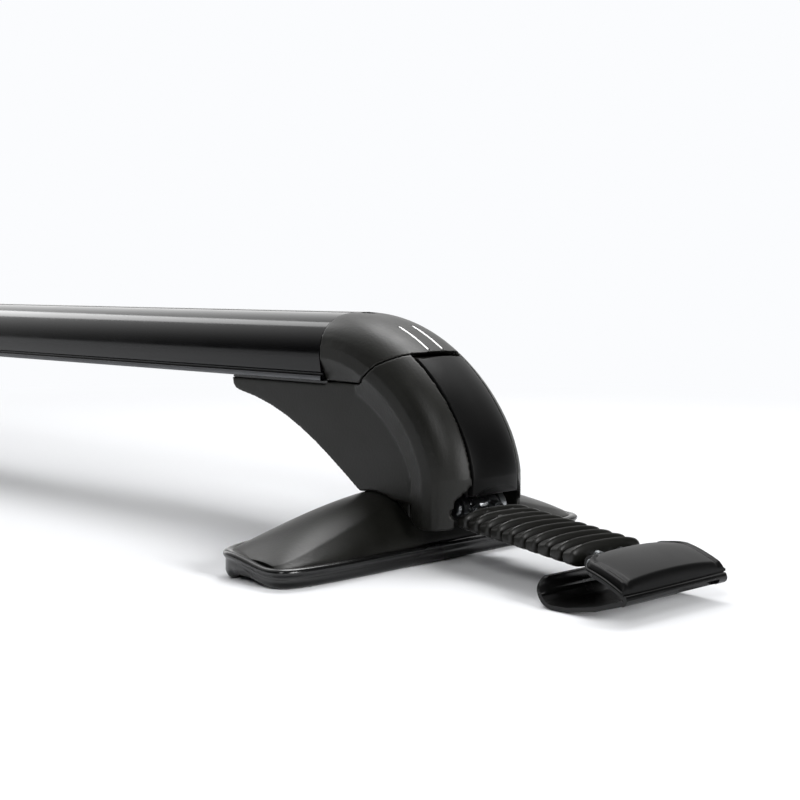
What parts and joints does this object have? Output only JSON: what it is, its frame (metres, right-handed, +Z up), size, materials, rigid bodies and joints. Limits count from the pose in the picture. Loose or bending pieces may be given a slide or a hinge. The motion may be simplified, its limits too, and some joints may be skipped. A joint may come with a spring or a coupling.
{
  "type": "roof_rack_crossbar",
  "caption": "Roof rack crossbar: rounded hollow bar on two clamp feet with domed soles, hinged covers and ribbed straps that end in folded steel hooks",
  "frame": {"origin": "on the floor, midway between the two feet, under the middle of the bar", "axes": "+X along the bar towards the right foot, +Y along the vehicle, +Z up"},
  "size_m": [1.1502, 0.176, 0.098],
  "materials": {
    "bar_coating": "gloss black powder-coated aluminium extrusion",
    "textured_plastic": "moulded dark grey plastic with a fine spark-eroded texture",
    "smooth_plastic": "smooth satin dark grey plastic",
    "white_plastic": "white inlay",
    "sole_rubber": "moulded black rubber",
    "strap_rubber": "moulded ribbed black rubber",
    "zinc_steel": "zinc-plated steel",
    "rope_steel": "galvanised stranded wire",
    "black_steel": "black-oxide steel screw",
    "hook_paint": "black powder-coated folded sheet steel"
  },
  "bodies": {
    "rack": {"bar": "bar_coating", "top_strip": "sole_rubber", "right_sole": "sole_rubber", "right_base_plate": "zinc_steel", "right_base_screws": "zinc_steel", "right_foot_shell": "textured_plastic", "right_tower_body": "textured_plastic", "right_bar_gasket": "sole_rubber", "right_clamp_screws": "zinc_steel", "right_clamp_nuts": "zinc_steel", "right_end_cap": "textured_plastic", "right_cap_screw": "black_steel", "right_stripe_inlays": "white_plastic", "left_sole": "sole_rubber", "left_base_plate": "zinc_steel", "left_base_screws": "zinc_steel", "left_foot_shell": "textured_plastic", "left_tower_body": "textured_plastic", "left_bar_gasket": "sole_rubber", "left_clamp_screws": "zinc_steel", "left_clamp_nuts": "zinc_steel", "left_end_cap": "textured_plastic", "left_cap_screw": "black_steel", "left_stripe_inlays": "white_plastic"},
    "right_cover": {"right_access_cover": "smooth_plastic"},
    "right_bolt": {"right_tension_bolt": "zinc_steel", "right_bolt_washer": "zinc_steel", "right_bolt_clip": "zinc_steel"},
    "right_slider": {"right_carriage": "zinc_steel", "right_anchor_pin": "zinc_steel"},
    "right_strap": {"right_rope_ferrules": "zinc_steel", "right_wire_ropes": "rope_steel", "right_strap_sleeve": "strap_rubber", "right_hook_pin": "zinc_steel"},
    "right_hook": {"right_hook_plate": "hook_paint", "right_hook_pad": "smooth_plastic", "right_hook_rivets": "zinc_steel"},
    "left_cover": {"left_access_cover": "smooth_plastic"},
    "left_bolt": {"left_tension_bolt": "zinc_steel", "left_bolt_washer": "zinc_steel", "left_bolt_clip": "zinc_steel"},
    "left_slider": {"left_carriage": "zinc_steel", "left_anchor_pin": "zinc_steel"},
    "left_strap": {"left_rope_ferrules": "zinc_steel", "left_wire_ropes": "rope_steel", "left_strap_sleeve": "strap_rubber", "left_hook_pin": "zinc_steel"},
    "left_hook": {"left_hook_plate": "hook_paint", "left_hook_pad": "smooth_plastic", "left_hook_rivets": "zinc_steel"}
  },
  "joints": [
    {"name": "right_cover_hinge", "type": "hinge", "parent": "rack", "child": "right_cover", "pos_m": [0.45042, 0, 0.07798], "axis": [0, -1, 0], "range_deg": [0, 75]},
    {"name": "right_bolt_turn", "type": "hinge", "parent": "rack", "child": "right_bolt", "pos_m": [0.45, 0, 0.042], "axis": [-1, 0, 0], "range_deg": [0, 2160]},
    {"name": "right_draw", "type": "slide", "parent": "rack", "child": "right_slider", "axis": [-1, 0, 0], "range_m": [0, 0.006]},
    {"name": "right_strap_swing", "type": "hinge", "parent": "right_slider", "child": "right_strap", "pos_m": [0.472, 0, 0.0235], "axis": [0, 1, 0], "range_deg": [-3, 75]},
    {"name": "right_hook_swing", "type": "hinge", "parent": "right_strap", "child": "right_hook", "pos_m": [0.54756, -0.01197, 0.0148], "axis": [0.0523, 0.9986, 0], "range_deg": [-35, 3]},
    {"name": "left_cover_hinge", "type": "hinge", "parent": "rack", "child": "left_cover", "pos_m": [-0.45042, 0, 0.07798], "axis": [0, 1, 0], "range_deg": [0, 75]},
    {"name": "left_bolt_turn", "type": "hinge", "parent": "rack", "child": "left_bolt", "pos_m": [-0.45, 0, 0.042], "axis": [1, 0, 0], "range_deg": [0, 2160]},
    {"name": "left_draw", "type": "slide", "parent": "rack", "child": "left_slider", "axis": [1, 0, 0], "range_m": [0, 0.006]},
    {"name": "left_strap_swing", "type": "hinge", "parent": "left_slider", "child": "left_strap", "pos_m": [-0.472, 0, 0.0235], "axis": [0, -1, 0], "range_deg": [-3, 75]},
    {"name": "left_hook_swing", "type": "hinge", "parent": "left_strap", "child": "left_hook", "pos_m": [-0.54756, -0.01197, 0.0148], "axis": [0.0523, -0.9986, 0], "range_deg": [-35, 3]}
  ],
  "couplings": [
    {"joint": "right_bolt_turn", "follows": "right_draw", "rad_per_m": 6283.2},
    {"joint": "left_bolt_turn", "follows": "left_draw", "rad_per_m": 6283.2}
  ]
}
